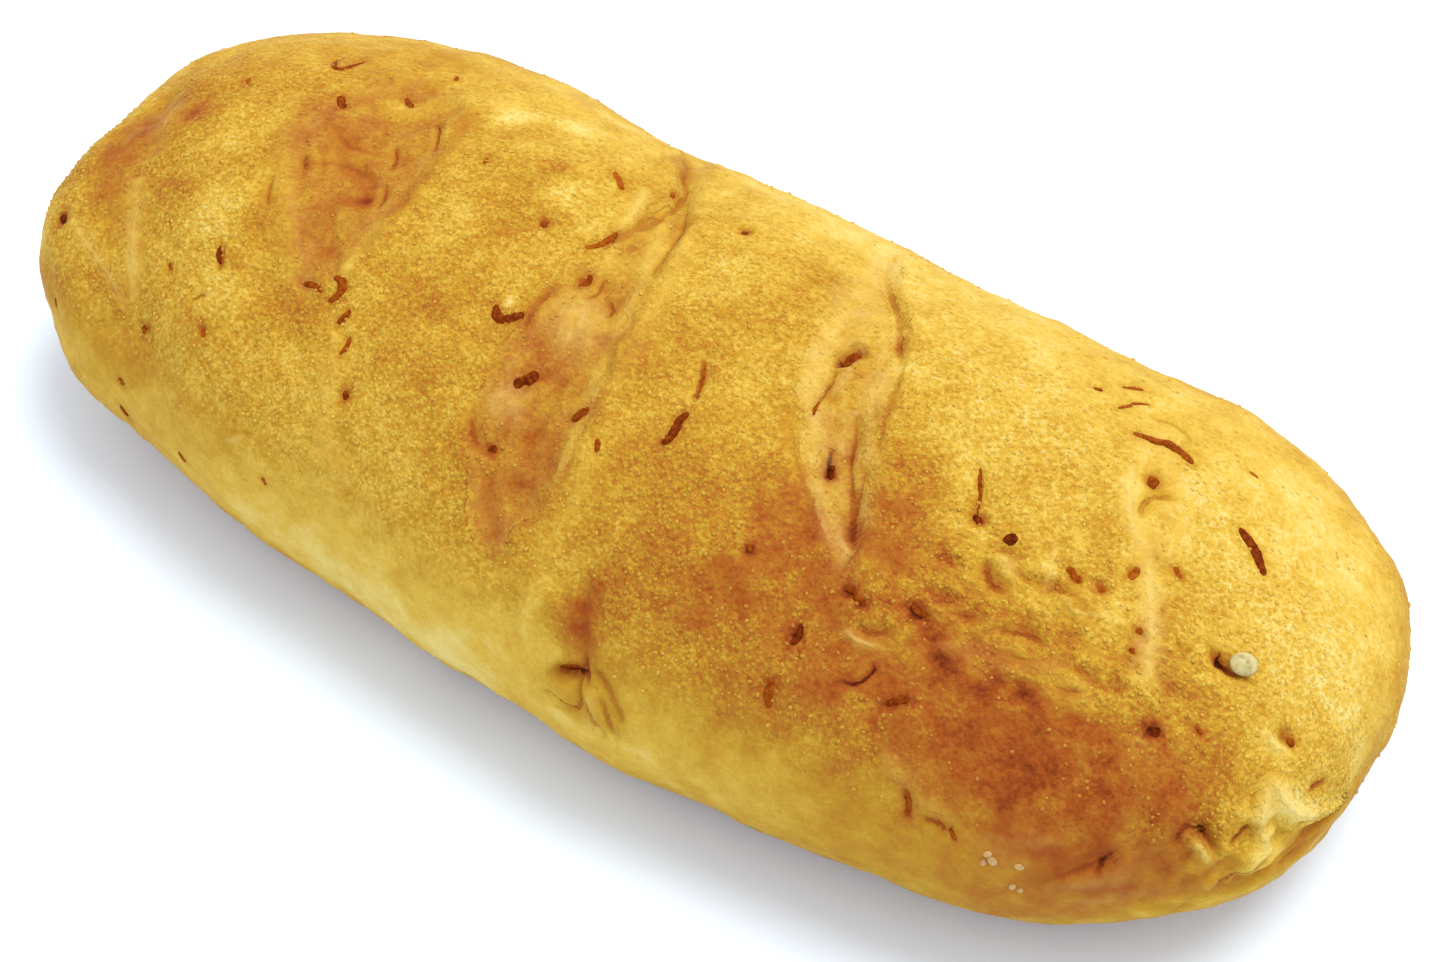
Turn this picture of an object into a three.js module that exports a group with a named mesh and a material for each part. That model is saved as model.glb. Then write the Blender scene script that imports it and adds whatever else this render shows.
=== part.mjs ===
// Carrot bread loaf: one long loaf, baked in one piece and lying on its flat base.
// Millimetres, +Z up, +X along the loaf. The origin is on the base, under the middle of the loaf.

import * as THREE from "three";
import { mergeVertices } from "three/addons/utils/BufferGeometryUtils.js";

// Driving dimensions
const LENGTH = 280;
const WIDTH = 124;
const HEIGHT = 72;
const WIDEST_AT = 0.4 * HEIGHT;
const UNDERSIDE_DEPTH = 0.62 * HEIGHT;
const WIDTH_TAPER = 0.03;
const BASE_EDGE = 4;

// How blunt the two ends are, seen from above and from the side. 2 is an ellipse, more is squarer.
const BLUNT_ABOVE = { left: 3.15, right: 2.85 };
const BLUNT_SIDE = 2.55;

// Where a side swells out (+) or is drawn in (-). "at" and "reach" are along the loaf.
const FRONT_LOBES = [
  { at: -125, reach: 14, out: -4 },
  { at: -95, reach: 18, out: -4.5 },
  { at: -68, reach: 18, out: -2.5 },
  { at: -42, reach: 18, out: -2 },
  { at: 24, reach: 15, out: 2.5 },
  { at: 100, reach: 22, out: 2 },
  { at: 125, reach: 16, out: -3 },
];
const BACK_LOBES = [
  { at: -122, reach: 16, out: 2.5 },
  { at: -95, reach: 18, out: 2 },
  { at: -35, reach: 20, out: -5.5 },
  { at: -5, reach: 20, out: -4 },
  { at: 30, reach: 24, out: -6.5 },
  { at: 65, reach: 24, out: -4 },
  { at: 100, reach: 22, out: 3 },
  { at: 125, reach: 16, out: 3 },
];

// The five slashes that opened in the oven. "at" is where a slash crosses the crest, "lean" is how
// far it moves along the loaf for each degree round it, and it runs between two angles from the
// crest, with the front of the loaf negative.
const SLASHES = [
  { at: -127, lean: -0.43, halfWidth: 9.5, depth: 5, from: -75, to: 25 },
  { at: -72, lean: -0.2, halfWidth: 14, depth: 2.5, from: -48, to: 35 },
  { at: -14, lean: -0.15, halfWidth: 9, depth: 3, from: -55, to: 42 },
  { at: 32, lean: -0.5, halfWidth: 9, depth: 2.5, from: -45, to: 45 },
  { at: 93, lean: -0.35, halfWidth: 7, depth: 1.5, from: -12, to: 32 },
];
const SLASH_FADE = 15;

// Faces along, across and up the loaf
const SEGMENTS = { along: 56, across: 20, up: 12 };

// Moves a point of a cube from -1 to 1 onto the round ball that it wraps.
function onBall(point) {
  const x2 = point.x ** 2;
  const y2 = point.y ** 2;
  const z2 = point.z ** 2;
  return new THREE.Vector3(
    point.x * Math.sqrt(1 - y2 / 2 - z2 / 2 + (y2 * z2) / 3),
    point.y * Math.sqrt(1 - z2 / 2 - x2 / 2 + (z2 * x2) / 3),
    point.z * Math.sqrt(1 - x2 / 2 - y2 / 2 + (x2 * y2) / 3),
  );
}

// How full the loaf is at a station, from 1 in the middle to 0 at its end.
function fullness(station, bluntness) {
  const left = 1 - Math.abs(station) ** bluntness;
  return Math.max(left, 0) ** (1 / bluntness);
}

function lobes(list, x) {
  return list.reduce((sum, lobe) => sum + lobe.out * Math.exp(-(((x - lobe.at) / lobe.reach) ** 2)), 0);
}

// Depth of the slashes at a place, where angle is in degrees from the crest.
function slashDepth(x, angle) {
  let depth = 0;
  for (const slash of SLASHES) {
    const off = (x - slash.at - slash.lean * angle) / slash.halfWidth;
    const starts = THREE.MathUtils.smoothstep(angle, slash.from - SLASH_FADE, slash.from + SLASH_FADE);
    const ends = 1 - THREE.MathUtils.smoothstep(angle, slash.to - SLASH_FADE, slash.to + SLASH_FADE);
    depth += slash.depth * Math.exp(-(off ** 2)) * starts * ends;
  }
  return depth;
}

// The tray flattens what would hang below it, with a soft edge round the flat.
function restOnTray(z) {
  if (z > BASE_EDGE) return z;
  if (z < -BASE_EDGE) return 0;
  return (z + BASE_EDGE) ** 2 / (4 * BASE_EDGE);
}

// Moves a point of the round ball onto the loaf's crust.
function onLoaf(ball) {
  const station = Math.sign(ball.x) * (1 - (1 - Math.abs(ball.x)) ** 1.5);
  const ring = Math.hypot(ball.y, ball.z);
  const sideways = ring > 0 ? ball.y / ring : 0;
  const upwards = ring > 0 ? ball.z / ring : 0;

  const x = (LENGTH / 2) * station;
  const list = sideways > 0 ? BACK_LOBES : FRONT_LOBES;
  const halfWidth = (WIDTH / 2) * (1 + WIDTH_TAPER * station) + lobes(list, x);
  const above = fullness(station, station > 0 ? BLUNT_ABOVE.right : BLUNT_ABOVE.left);
  const side = fullness(station, BLUNT_SIDE);

  const angle = THREE.MathUtils.radToDeg(Math.atan2(sideways, upwards));
  const cutIn = 1 - slashDepth(x, angle) / (WIDTH / 2);
  const rise = upwards > 0 ? HEIGHT - WIDEST_AT : UNDERSIDE_DEPTH;
  const y = halfWidth * above * sideways * cutIn;
  const z = WIDEST_AT + rise * side * upwards * cutIn;
  return new THREE.Vector3(x, y, restOnTray(z));
}

function makeLoafGeometry() {
  const box = new THREE.BoxGeometry(2, 2, 2, SEGMENTS.along, SEGMENTS.across, SEGMENTS.up);
  box.deleteAttribute("normal");
  box.deleteAttribute("uv");
  const geometry = mergeVertices(box);
  const positions = geometry.attributes.position;
  for (let i = 0; i < positions.count; i += 1) {
    const point = new THREE.Vector3().fromBufferAttribute(positions, i);
    const placed = onLoaf(onBall(point));
    positions.setXYZ(i, placed.x, placed.y, placed.z);
  }
  geometry.computeBoundingBox();
  const middle = geometry.boundingBox.getCenter(new THREE.Vector3());
  geometry.translate(-middle.x, -middle.y, 0);
  geometry.computeVertexNormals();
  return geometry;
}

const crust = new THREE.MeshStandardMaterial({ color: "#d9a232", roughness: 0.7, metalness: 0 });
const loaf = new THREE.Mesh(makeLoafGeometry(), crust);
loaf.name = "loaf";

const carrotBread = new THREE.Group();
carrotBread.add(loaf);

export default carrotBread;
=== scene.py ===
import math

import bmesh
import bpy
import numpy as np
from mathutils import Matrix, Vector, noise
from mathutils.bvhtree import BVHTree


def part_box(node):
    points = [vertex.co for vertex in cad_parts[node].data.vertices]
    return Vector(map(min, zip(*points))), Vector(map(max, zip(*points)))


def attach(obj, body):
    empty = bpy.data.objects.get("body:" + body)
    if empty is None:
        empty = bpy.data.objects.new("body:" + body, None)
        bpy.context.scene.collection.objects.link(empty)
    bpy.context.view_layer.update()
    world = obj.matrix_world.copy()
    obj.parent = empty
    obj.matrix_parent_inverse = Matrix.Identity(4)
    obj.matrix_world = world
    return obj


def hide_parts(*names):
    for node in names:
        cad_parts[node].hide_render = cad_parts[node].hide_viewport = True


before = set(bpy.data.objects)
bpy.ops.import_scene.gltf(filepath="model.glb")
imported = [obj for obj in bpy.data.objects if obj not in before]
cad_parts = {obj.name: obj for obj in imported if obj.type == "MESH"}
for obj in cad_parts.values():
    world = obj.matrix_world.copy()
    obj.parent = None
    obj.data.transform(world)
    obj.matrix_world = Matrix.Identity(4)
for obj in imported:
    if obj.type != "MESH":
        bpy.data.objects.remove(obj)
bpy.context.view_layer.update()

# =================================================================================================
# The baked form. A long dough roll was proved and baked on a tray, so it is round on top, bulges at
# its sides and is flat underneath. A smooth skin of the frame's solid gives that form, and the net
# that becomes the crust is thrown onto it from the loaf's heart line.
# =================================================================================================

MM = 0.001
low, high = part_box("loaf")
LENGTH = (high[0] - low[0]) / MM
HEIGHT = (high[2] - low[2]) / MM
HEART_HEIGHT = 0.4 * HEIGHT
HEART_SHARE = 0.4
NET_CELLS = {"Cells along": 270, "Cells across": 136, "Cells up": 63}
# Where the corners of the net's box go, in degrees round the loaf, so that its top and front are finer.
NET_CORNERS = [-180, -135, -45, 45, 135, 180]
LOAF_CORNERS = [-180, -122, -68, 50, 122, 180]
# Corners of the solid this close are one corner, and triangles that lean less than this are one face.
WELD_MM = 0.01
FACE_ANGLE = math.radians(60)
SKIN_LEVELS = 2
BASE_TOLERANCE_MM = 0.001


def add_node(tree, kind, inputs=None, **settings):
    """Adds a node. Each input is a value to set, or another node's output to link."""
    node = tree.nodes.new(kind)
    for name, value in settings.items():
        setattr(node, name, value)
    for name, value in (inputs or {}).items():
        if isinstance(value, bpy.types.NodeSocket):
            tree.links.new(value, node.inputs[name])
        else:
            node.inputs[name].default_value = value
    return node


def add_object(name, mesh):
    made = bpy.data.objects.new(name, mesh)
    bpy.context.scene.collection.objects.link(made)
    return made


def evaluated_mesh(source):
    """The plain mesh that an object's modifiers give."""
    depsgraph = bpy.context.evaluated_depsgraph_get()
    return bpy.data.meshes.new_from_object(source.evaluated_get(depsgraph), depsgraph=depsgraph)


def new_tree(name, sockets):
    """A geometry tree that takes the given sockets and gives Geometry, and its input node."""
    tree = bpy.data.node_groups.new(name, "GeometryNodeTree")
    for socket, kind in sockets.items():
        tree.interface.new_socket(socket, in_out="INPUT", socket_type="NodeSocket" + kind)
    tree.interface.new_socket("Geometry", in_out="OUTPUT", socket_type="NodeSocketGeometry")
    return tree, add_node(tree, "NodeGroupInput")


def end_tree(tree, geometry, finish):
    """Makes a tree's geometry real, gives it its material and sends it out."""
    real = add_node(tree, "GeometryNodeRealizeInstances", {"Geometry": geometry})
    painted = add_node(tree, "GeometryNodeSetMaterial", {"Geometry": real.outputs[0], "Material": finish})
    add_node(tree, "NodeGroupOutput", {"Geometry": painted.outputs[0]})
    return tree


def run_tree(tree, name, source, values):
    """A new object holding the plain mesh that a geometry tree makes from a source object."""
    modifier = source.modifiers.new(tree.name, "NODES")
    modifier.node_group = tree
    for item in tree.interface.items_tree:
        if item.item_type == "SOCKET" and item.in_out == "INPUT" and item.name in values:
            modifier[item.identifier] = values[item.name]
    made = add_object(name, evaluated_mesh(source))
    bpy.data.objects.remove(source)
    return made


def smooth_skin():
    """A tree for ray casts on a finer, rounder copy of the frame's loaf."""
    copy = add_object("smooth_skin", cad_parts["loaf"].data.copy())
    joined = bmesh.new()
    joined.from_mesh(copy.data)
    bmesh.ops.remove_doubles(joined, verts=joined.verts, dist=WELD_MM * MM)
    bmesh.ops.join_triangles(
        joined,
        faces=joined.faces,
        angle_face_threshold=FACE_ANGLE,
        angle_shape_threshold=FACE_ANGLE,
    )
    joined.to_mesh(copy.data)
    joined.free()
    finer = copy.modifiers.new("finer", "SUBSURF")
    finer.levels = SKIN_LEVELS
    finer.render_levels = SKIN_LEVELS
    skin = BVHTree.FromObject(copy, bpy.context.evaluated_depsgraph_get())
    bpy.data.objects.remove(copy)
    return skin


def net_tree():
    """A closed box of square cells, whose points are then thrown onto the loaf."""
    tree, given = new_tree("crust net", {**dict.fromkeys(NET_CELLS, "Int"), "Crust": "Material"})
    box = add_node(tree, "GeometryNodeMeshCube", {"Size": (2, 2, 2)})
    for name, vertices in zip(NET_CELLS, ("Vertices X", "Vertices Y", "Vertices Z")):
        count = add_node(tree, "ShaderNodeMath", {0: given.outputs[name], 1: 1.0}, operation="ADD")
        tree.links.new(count.outputs[0], box.inputs[vertices])
    return end_tree(tree, box.outputs["Mesh"], given.outputs["Crust"])


def on_ball(box):
    """Points of a box from -1 to 1, moved onto the ball inside it."""
    x, y, z = (box**2).T
    round_x = box[:, 0] * np.sqrt(1 - y / 2 - z / 2 + y * z / 3)
    round_y = box[:, 1] * np.sqrt(1 - z / 2 - x / 2 + z * x / 3)
    round_z = box[:, 2] * np.sqrt(1 - x / 2 - y / 2 + x * y / 3)
    return np.stack([round_x, round_y, round_z], axis=1)


def thrown_onto(skin, ball):
    """Where the rays from the heart line, one for each point of the ball, meet the skin, in mm."""
    turn = np.degrees(np.arctan2(ball[:, 1], ball[:, 2]))
    turn = np.radians(np.interp(turn, NET_CORNERS, LOAF_CORNERS))
    ring = np.hypot(ball[:, 1], ball[:, 2])
    rays = np.stack([ball[:, 0], ring * np.sin(turn), ring * np.cos(turn)], axis=1)
    hearts = np.zeros_like(ball)
    hearts[:, 0] = HEART_SHARE * LENGTH * ball[:, 0] * MM
    hearts[:, 2] = HEART_HEIGHT * MM
    hits = [skin.ray_cast(Vector(heart), Vector(ray))[0] for heart, ray in zip(hearts, rays)]
    return np.array([tuple(hit) for hit in hits]) / MM


skin = smooth_skin()
crust_material = bpy.data.materials.new("baked carrot bread crust")
carrier = add_object("net_carrier", bpy.data.meshes.new("net_carrier"))
crust = run_tree(net_tree(), "crust", carrier, {**NET_CELLS, "Crust": crust_material})
crust.data.name = "crust"


def get_points(mesh):
    values = np.empty(len(mesh.vertices) * 3)
    mesh.vertices.foreach_get("co", values)
    return values.reshape(-1, 3)


def set_points(mesh, places):
    mesh.vertices.foreach_set("co", (places * MM).ravel())
    mesh.update()


set_points(crust.data, thrown_onto(skin, on_ball(get_points(crust.data))))

# The flat base needs no net, so one face closes it.
base = bmesh.new()
base.from_mesh(crust.data)
flat = [
    face for face in base.faces if all(vert.co.z < BASE_TOLERANCE_MM * MM for vert in face.verts)
]
bmesh.ops.delete(base, geom=flat, context="FACES")
bmesh.ops.holes_fill(base, edges=[edge for edge in base.edges if edge.is_boundary], sides=0)
bmesh.ops.recalc_face_normals(base, faces=base.faces)
base.to_mesh(crust.data)
base.free()
points = get_points(crust.data) / MM


def get_normals(mesh):
    values = np.empty(len(mesh.vertices) * 3)
    mesh.vertex_normals.foreach_get("vector", values)
    return values.reshape(-1, 3)


normals = get_normals(crust.data)

# A place on the crust is given as millimetres along the loaf from its middle, and degrees round it
# from the crest, seen from its heart line, with the front negative.
along = points[:, 0]
turned = np.degrees(np.arctan2(points[:, 1], points[:, 2] - HEART_HEIGHT))

# What the oven did to each point of the crust: how far it stands proud in mm, how brown it baked
# (-1 cream, 0 golden, 1 red-brown), how grainy it is (0 smooth skin, 1 mealy), and how much of it is
# pale stretched skin (0 none, 1 all).
lift = np.zeros(len(points))
bake = np.zeros(len(points))
grain = np.ones(len(points))
pallor = np.zeros(len(points))


def bell(distance, width):
    return np.exp(-((distance / width) ** 2))


def ramp(start, end, values):
    """0 before start, 1 past end, and smooth between them."""
    share = np.clip((values - start) / (end - start), 0, 1)
    return share * share * (3 - 2 * share)


def lumps_at(spot, octaves):
    return noise.fractal(spot, 1.0, 2.0, octaves, noise_basis="PERLIN_ORIGINAL")


def rough(size, octaves, seed):
    """Noise from about -1 to 1 at every point, with lumps of the given size in mm."""
    offset = Vector((seed * 17.3, seed * 5.1, seed * 9.7))
    return np.array([lumps_at(Vector(point) / size + offset, octaves) for point in points])


NOT_THERE = 0.01


def streaks(weight, lengthways, upwards, seed, octaves):
    """Noise where the weight counts, and 0 elsewhere. The places are given in lumps, each its own way."""
    made = np.zeros(len(points))
    for k in np.flatnonzero(weight > NOT_THERE):
        made[k] = lumps_at(Vector((lengthways[k], upwards[k], seed)), octaves)
    return made


# Thin dark creases and pale ridges are finer than the net, so the material draws them from how far
# each point is from the nearest one, in half widths and negative on one side, and how strong it is.
# A drawn crease is darkened partly as painted shade in it, and a drawn ridge is paled partly as
# painted highlight.
FAR_GAP = 9.0
LINE_FADES_MM = (1.2, 2.4)
UNSEEN = 0.02
lines = {kind: (np.full(len(points), FAR_GAP), np.zeros(len(points))) for kind in ("crease", "ridge")}


def draw_line(kind, which, off, half_width, strength):
    """Draws a line at off = 0, where off is in mm. It fades out before the next line takes over."""
    gaps, strengths = lines[kind]
    gap = off / half_width
    strength = strength * (1 - ramp(*LINE_FADES_MM, np.abs(off)))
    seen = strength > UNSEEN
    # Midway to another line, both lines have to be on the same side of zero, or a false line shows.
    midway = seen * (strengths[which] > UNSEEN) * bell(np.abs(gap) - np.abs(gaps[which]), 1.0)
    if np.sum(midway * np.sign(gap) * np.sign(gaps[which])) < 0:
        gap = -gap
    closer = (np.abs(gap) < np.abs(gaps[which])) & seen
    gaps[which[closer]] = gap[closer]
    strengths[which[closer]] = strength[closer]


broad_lumps = rough(30, 2, 1)
soft_lumps = rough(9, 3, 2)
fine_lumps = rough(3, 2, 3)
drift_along = rough(7, 2, 4)
drift_round = rough(7, 2, 5)

BROAD_LUMP_MM = 0.8
SOFT_LUMP_MM = 0.45
FINE_LUMP_MM = 0.16
lift += BROAD_LUMP_MM * broad_lumps + SOFT_LUMP_MM * soft_lumps + FINE_LUMP_MM * fine_lumps

# Where the loaf swelled or sank a little more than the smooth form: along, round, half length in mm,
# half height in degrees, and how far out in mm.
SWELLS = [
    (-101, 58, 12, 12, -0.8),
    (-82, -100, 16, 14, -1.0),
    (-40, -102, 12, 14, -0.6),
    (8, -107, 16, 14, 0.6),
    (24, -107, 8, 12, 0.2),
    (-131, 18, 8, 14, -0.5),
    (56, 64, 12, 12, 0.5),
    (66, -106, 9, 12, -0.5),
    (86, 70, 16, 14, 0.7),
    (-113, -102, 10, 14, 0.9),
    (-134, -68, 8, 20, 1.0),
    (-131, -5, 8, 20, -0.8),
    (-131, 50, 8, 16, 0.8),
    (113, 73, 8, 14, -0.7),
    (126, 75, 7, 14, 0.6),
    (139, 88, 7, 34, -0.4),
    (133, -112, 9, 14, 0.5),
    (118, -113, 10, 14, 0.2),
]
for x, turn, half_length, half_turn, out in SWELLS:
    lift += out * bell(np.hypot((along - x) / half_length, (turned - turn) / half_turn), 1.0)

# =================================================================================================
# The slashes. The baker cut the dough across five times with a blade, and each cut opened into a
# leaf shape in the oven: smooth, paler skin between raised lips, with fine wrinkles along it.
# =================================================================================================

# The edges are rows of degrees round the loaf, and where the left and right edges are along it. The
# floor and the two lips are in mm, the bake and the skin are as the crust's values, and pale and
# dark say how strong the pale band and the dark crease of each lip are. The pale band is partly
# paler stretched skin and partly painted highlight on the lip, and the dark crease is painted shade
# under the lip's edge.
SLASHES = [
    {
        "edges": [(20, -130, -122), (0, -131, -119), (-20, -131, -115), (-40, -128, -112),
                  (-55, -122, -108)],
        "floor": 0.4, "lips": (0.0, 0.6), "bake": 0.36, "skin": 0.0,
        "pale": (0.0, 0.15), "dark": (0.0, 0.2),
    },
    {
        "edges": [(40, -82, -72), (28, -88, -66), (15, -89.5, -61.5), (0, -88.5, -58.5), (-12, -84, -58),
                  (-24, -77.5, -58), (-34, -70.5, -60), (-43, -66, -63)],
        "floor": 0.7, "lips": (0.4, 0.8), "bake": 0.45, "skin": 0.06,
        "pale": (0.15, 0.15), "dark": (0.0, 0.1),
    },
    {
        "edges": [(60, -31, -25), (45, -25, -19), (36, -20, -15), (22, -18.5, -11), (8, -19, -8),
                  (-8, -20.5, -6), (-22, -21.5, -3), (-36, -21.5, 0), (-50, -19.5, 1), (-62, -14, -1),
                  (-70, -9, -4)],
        "floor": 0.8, "lips": (0.4, 0.7), "bake": 0.28, "skin": 0.06,
        "pale": (0.12, 0.15), "dark": (0.35, 0.2),
    },
    {
        "edges": [(52, 17, 20), (40, 20, 26.5), (30, 21, 32.5), (20, 22.5, 37.5), (10, 24, 41.5),
                  (0, 26.5, 44), (-10, 30, 47), (-20, 35, 50), (-30, 42, 54), (-38, 49.5, 56),
                  (-43, 54, 56)],
        "floor": 0.8, "lips": (0.3, 0.5), "bake": 0.12, "skin": 0.3,
        "pale": (0.55, 0.2), "dark": (0.0, 0.3),
    },
    {
        "edges": [(38, 82, 86), (25, 84, 98), (12, 87.5, 101.5), (2, 93, 101.5), (-8, 97.5, 103),
                  (-20, 102, 106.5), (-30, 105.5, 109), (-38, 108, 110)],
        "floor": 0.3, "lips": (0.2, 0.3), "bake": -0.05, "skin": 0.15,
        "pale": (0.3, 0.1), "dark": (0.0, 0.1),
    },
]
# For the left and the right lip, in mm: how far inside the edge the pale band and the drawn ridge
# run, the ridge's half width and strength, and how far outside the edge the drawn crease runs.
LIPS = [
    {"band": 2.0, "ridge": 0.0, "ridge_half": 0.7, "ridge_share": 0.8, "crease": 0.9},
    {"band": 1.5, "ridge": 0.4, "ridge_half": 0.6, "ridge_share": 1.0, "crease": 0.5},
]
LIP_OUTSIDE = 1.5
LIP_REACH = 2.4
PALE_REACH = 2.2
CREASE_HALF = 0.5
EDGE_SOFTNESS = 2.8
END_SOFTNESS = 4
WRINKLE_MM = 2.2
WRINKLE_DEGREES = 14
WRINKLE_HEIGHT = 0.4
# How much of the crust's own bake the slash's replaces, how much its blotches, its wrinkles and its
# pale bands change it, and how much of the meal it lost. The wrinkles' raised parts are painted paler
# and their hollows browner, as painted highlight and shade, and the pale bands are partly painted
# highlight.
BAKE_SHARE = 0.85
BLOTCH_BAKE = 0.15
WRINKLE_LIGHT_AND_SHADE = 0.18
PALE_BAND_AND_HIGHLIGHT_BAKE = 0.55
PALE_BAND_AND_HIGHLIGHT_PALLOR = 0.6
MEAL_LOST = 0.38
wander = 1.6 * drift_along + 1.0 * rough(3, 1, 6)
skin_wrinkles = rough(3.5, 2, 7)
everywhere = np.arange(len(points))
patchy = ramp(-0.35, 0.35, rough(7, 2, 10))
skin_blotches = rough(6, 2, 8)

for slash in SLASHES:
    rows = np.array(sorted(slash["edges"]))
    left = np.interp(turned, rows[:, 0], rows[:, 1])
    right = np.interp(turned, rows[:, 0], rows[:, 2])
    past_edges = (along + wander - left, right - along - wander)
    starts = ramp(rows[0, 0] - END_SOFTNESS, rows[0, 0] + END_SOFTNESS, turned)
    ends = 1 - ramp(rows[-1, 0] - END_SOFTNESS, rows[-1, 0] + END_SOFTNESS, turned)
    in_length = starts * ends
    inside = in_length.copy()
    for past_edge in past_edges:
        inside *= ramp(-EDGE_SOFTNESS, EDGE_SOFTNESS, past_edge)
    across = np.clip(2 * past_edges[0] / (right - left) - 1, -1, 1)
    lift -= slash["floor"] * inside * (1 - 0.5 * across**2)

    # Fine wrinkles run along the cut. Their raised parts get a paler bake and more pale skin and their
    # hollows a browner bake, as painted highlight and shade.
    wrinkles = streaks(inside, past_edges[0] / WRINKLE_MM, turned / WRINKLE_DEGREES, rows[0, 1], 3)
    wrinkles += 0.6 * skin_wrinkles
    lift += WRINKLE_HEIGHT * wrinkles * inside
    blotched = slash["bake"] + BLOTCH_BAKE * skin_blotches - WRINKLE_LIGHT_AND_SHADE * wrinkles
    bake += (blotched - bake) * BAKE_SHARE * inside
    pallor += slash["skin"] * (1 + 1.6 * wrinkles + 0.6 * skin_blotches) * inside

    for side, (past_edge, lip) in enumerate(zip(past_edges, LIPS)):
        pale = slash["pale"][side]
        dark = slash["dark"][side]
        lift += slash["lips"][side] * bell(past_edge + LIP_OUTSIDE, LIP_REACH) * in_length
        # A pale band inside the lip: partly paler stretched skin, partly painted highlight.
        pale_band_and_highlight = pale * bell(past_edge - lip["band"], PALE_REACH) * in_length
        pallor += PALE_BAND_AND_HIGHLIGHT_PALLOR * pale_band_and_highlight
        bake -= PALE_BAND_AND_HIGHLIGHT_BAKE * pale_band_and_highlight
        broken = patchy * in_length
        # A drawn pale ridge along the lip, partly painted highlight.
        ridge_strength = lip["ridge_share"] * pale * broken
        draw_line("ridge", everywhere, past_edge - lip["ridge"], lip["ridge_half"], ridge_strength)
        # A drawn dark crease outside the lip: painted shade under its edge.
        draw_line("crease", everywhere, past_edge + lip["crease"], CREASE_HALF, dark * broken)
    grain *= 1 - MEAL_LOST * inside

# =================================================================================================
# The bake. The loaf took its colour unevenly: red-brown where it faced the oven's heat, golden over
# most of its top, and pale yellow low on its front, where the next loaf shaded it.
# =================================================================================================

# Along, round, half length in mm, half height in degrees, and how much browner.
BROWN_PATCHES = [
    (78, -62, 62, 22, 0.4),
    (114, -72, 19, 24, 0.35),
    (110, -84, 9, 7, 0.15),
    (92, -50, 14, 6, 0.35),
    (38, -38, 9, 8, 0.3),
    (42, -45, 20, 14, 0.32),
    (112, -90, 26, 14, 0.3),
    (58, -30, 9, 14, 0.2),
    (18, 24, 8, 18, 0.2),
    (-120, -8, 12, 34, 0.2),
    (-85, 18, 16, 20, 0.12),
    (93, -60, 19, 13, 0.45),
    (97, -64, 10, 8, 0.12),
    (79, -50, 6, 3, 0.15),
    (119, -58, 10, 15, 0.12),
    (104, -73, 12, 9, 0.2),
    (45, -55, 15, 12, 0.2),
    (62, -60, 11, 9, 0.2),
    (28, -58, 12, 9, 0.2),
    (17, -42, 8, 10, 0.2),
    (56, -22, 7, 14, 0.4),
    (66, -34, 11, 7, 0.35),
    (-8, -55, 12, 14, 0.35),
    (-12, -33, 8, 6, 0.25),
    (0, -22, 4, 10, 0.25),
    (-40, 20, 4, 10, 0.35),
    (-37, -5, 5, 10, 0.3),
    (-40, -33, 7, 5, 0.3),
    (-62, -48, 9, 6, 0.25),
    (-66, -20, 9, 14, 0.2),
    (-113, 0, 4, 9, 0.5),
    (-122, -28, 6, 26, 0.1),
    (-104, -33, 5, 5, 0.3),
    (-108, -67, 7, 4, 0.4),
    (-100, -76, 16, 8, 0.25),
    (17.5, -75, 4.5, 12, 0.6),
    (-82, 50, 8, 6, 0.35),
    (-95, 42, 5, 8, 0.25),
    (-26, 51, 4, 8, 0.4),
    (90, -38, 15, 4, 0.3),
    (112, -42, 11, 6, 0.4),
    (117, -31, 8, 4, 0.3),
    (-88, 0, 3.5, 9, 0.5),
    (-81, -28, 4, 7, 0.28),
    (-70, -33, 5, 5, 0.25),
    (-22, 30, 3, 8, 0.3),
    (50, -38, 4, 4, 0.38),
    (45, -8, 2.5, 8, 0.3),
    (-120, -8, 7, 20, 0.1),
    (80, -52, 10, 6, 0.3),
    (44, -35, 7, 8, 0.18),
    (72, -42, 16, 4, 0.22),
    (78, -56, 16, 7, 0.2),
    (124, -57, 14, 8, 0.2),
    (98, -73, 10, 4, 0.22),
    (44, 53, 11, 6, 0.2),
    (70, 54, 8, 5, 0.15),
    (38, 21, 4, 8, 0.25),
    (-98, 6, 7, 9, 0.15),
    (-92, -12, 7, 12, 0.15),
    (-103, -35, 9, 9, 0.15),
    (20, -50, 5, 5, 0.15),
    (22, -88, 13, 4, 0.15),
    (105, -21, 6, 9, 0.5),
]
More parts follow.
